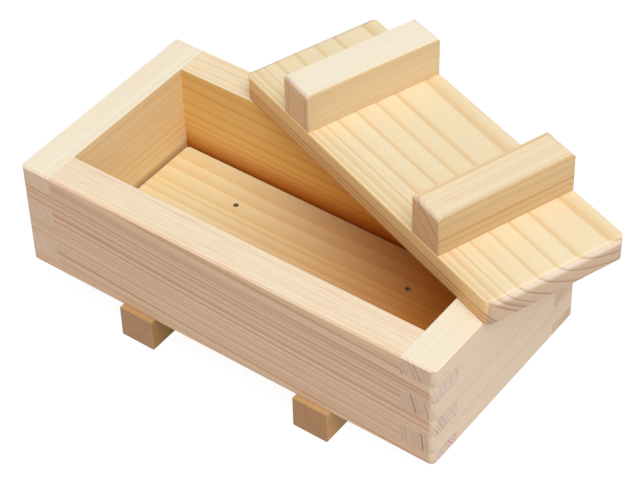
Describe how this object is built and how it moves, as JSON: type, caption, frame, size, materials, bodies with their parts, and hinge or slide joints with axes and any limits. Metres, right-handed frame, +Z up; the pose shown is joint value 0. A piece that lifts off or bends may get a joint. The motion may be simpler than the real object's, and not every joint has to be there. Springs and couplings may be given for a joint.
{
  "type": "pressed rice mould",
  "caption": "Wooden mould for pressed rice: a finger-jointed frame over a loose base board on cleats, with a press lid with grip bars laid turned on its rim.",
  "frame": {"origin": "bottom centre of the whole: the middle of its extents seen from above, level with the cleats' undersides", "axes": "+X along the frame's length, towards the end where the lid hangs over; +Y from the front wall to the back wall; +Z up"},
  "size_m": [0.2694, 0.1778, 0.1153],
  "materials": {
    "wall_wood": "planed bare softwood, fine straight grain",
    "end_wood": "planed bare softwood, fine straight grain",
    "base_wood": "planed bare softwood, broad soft flame grain",
    "cleat_wood": "planed bare softwood, a shade darker",
    "lid_wood": "planed bare softwood, strong late-wood bands",
    "bar_wood": "planed bare softwood, fine grain",
    "nail_steel": "dull bright wire"
  },
  "bodies": {
    "base": {"base_board": "base_wood", "cleat_left": "cleat_wood", "cleat_right": "cleat_wood", "base_nails_left": "nail_steel", "base_nails_right": "nail_steel"},
    "frame": {"front_wall": "wall_wood", "back_wall": "wall_wood", "left_end_wall": "end_wood", "right_end_wall": "end_wood"},
    "lid": {"lid_board": "lid_wood", "bar_left": "bar_wood", "bar_right": "bar_wood", "bar_nails_left": "nail_steel", "bar_nails_right": "nail_steel"}
  },
  "joints": [
    {"name": "frame_lift", "type": "slide", "parent": "base", "child": "frame", "axis": [0, 0, 1], "range_m": [0, 0.08]},
    {"name": "lid_lift", "type": "slide", "parent": "frame", "child": "lid", "axis": [0, 0, 1], "range_m": [0, 0.08]}
  ]
}
